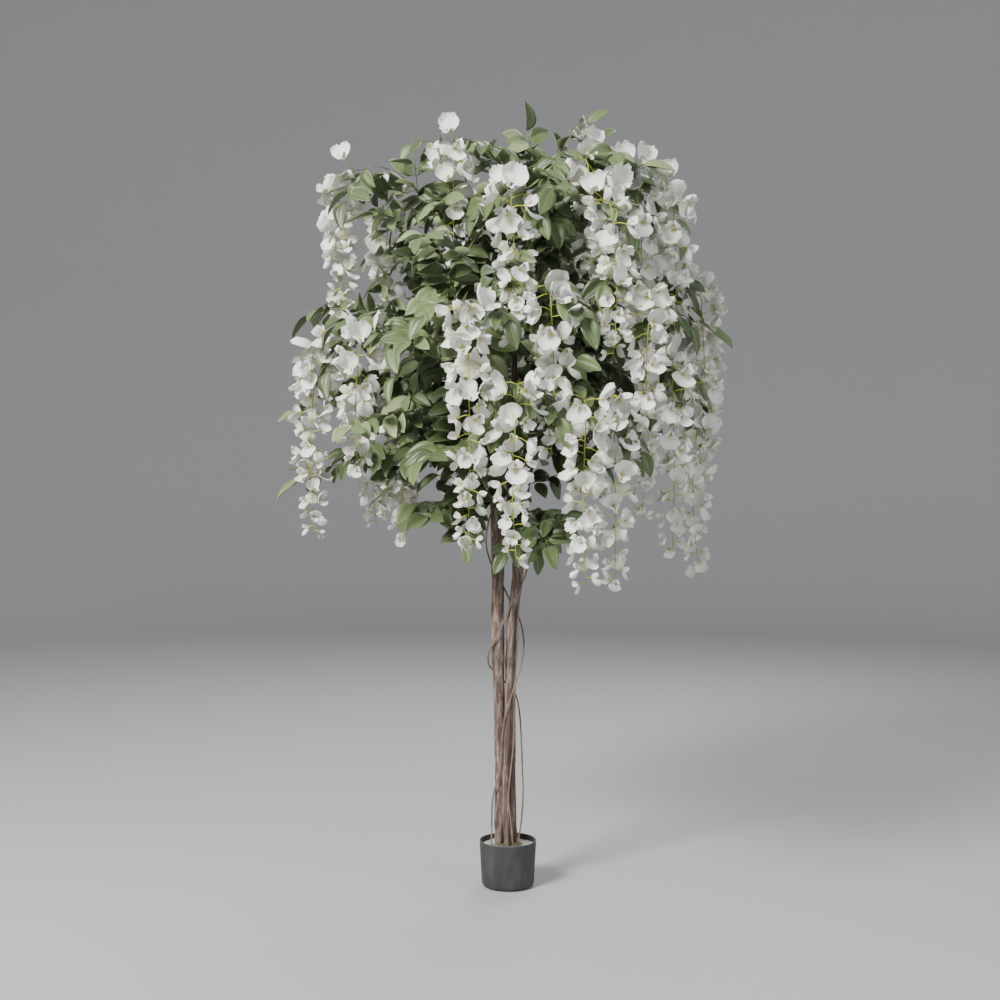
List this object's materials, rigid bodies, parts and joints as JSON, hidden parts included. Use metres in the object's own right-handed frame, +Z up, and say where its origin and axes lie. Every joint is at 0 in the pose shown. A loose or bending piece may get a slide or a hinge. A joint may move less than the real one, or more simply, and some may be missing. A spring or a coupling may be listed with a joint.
{
  "type": "potted wisteria",
  "caption": "White wisteria trained as a small weeping tree in a round pot: entwined woody stems, hanging flower racemes and leafy stems.",
  "frame": {"origin": "centre of the pot's underside", "axes": "+Z up along the stems, -Y towards the viewer of the picture, +X to the viewer's right"},
  "size_m": [1.0785, 1.0118, 1.8014],
  "materials": {
    "pot": "matte",
    "potting_fill": "matte",
    "moss": "matte",
    "bark": "matte",
    "vine": "matte",
    "flower": "matte",
    "foliage": "satin"
  },
  "bodies": {
    "root": {"pot": "pot", "potting_fill": "potting_fill", "moss": "moss", "trunk_left": "bark", "trunk_right": "bark", "trunk_back": "bark", "vine_front": "vine", "vine_left": "vine", "vine_right": "vine", "raceme_01": "flower", "raceme_02": "flower", "raceme_03": "flower", "raceme_04": "flower", "raceme_05": "flower", "raceme_06": "flower", "raceme_07": "flower", "raceme_08": "flower", "raceme_09": "flower", "raceme_10": "flower", "raceme_11": "flower", "raceme_12": "flower", "raceme_13": "flower", "raceme_14": "flower", "raceme_15": "flower", "raceme_16": "flower", "raceme_17": "flower", "raceme_18": "flower", "raceme_19": "flower", "raceme_20": "flower", "raceme_21": "flower", "raceme_22": "flower", "raceme_23": "flower", "raceme_24": "flower", "raceme_25": "flower", "raceme_26": "flower", "raceme_27": "flower", "raceme_28": "flower", "raceme_29": "flower", "raceme_30": "flower", "leafy_stem_01": "foliage", "leafy_stem_02": "foliage", "leafy_stem_03": "foliage", "leafy_stem_04": "foliage", "leafy_stem_05": "foliage", "leafy_stem_06": "foliage", "leafy_stem_07": "foliage", "leafy_stem_08": "foliage", "leafy_stem_09": "foliage", "leafy_stem_10": "foliage", "leafy_stem_11": "foliage", "leafy_stem_12": "foliage", "leafy_stem_13": "foliage", "leafy_stem_14": "foliage", "leafy_stem_15": "foliage", "leafy_stem_16": "foliage", "leafy_stem_17": "foliage", "leafy_stem_18": "foliage", "leafy_stem_19": "foliage", "leafy_stem_20": "foliage", "leafy_stem_21": "foliage"}
  },
  "joints": []
}
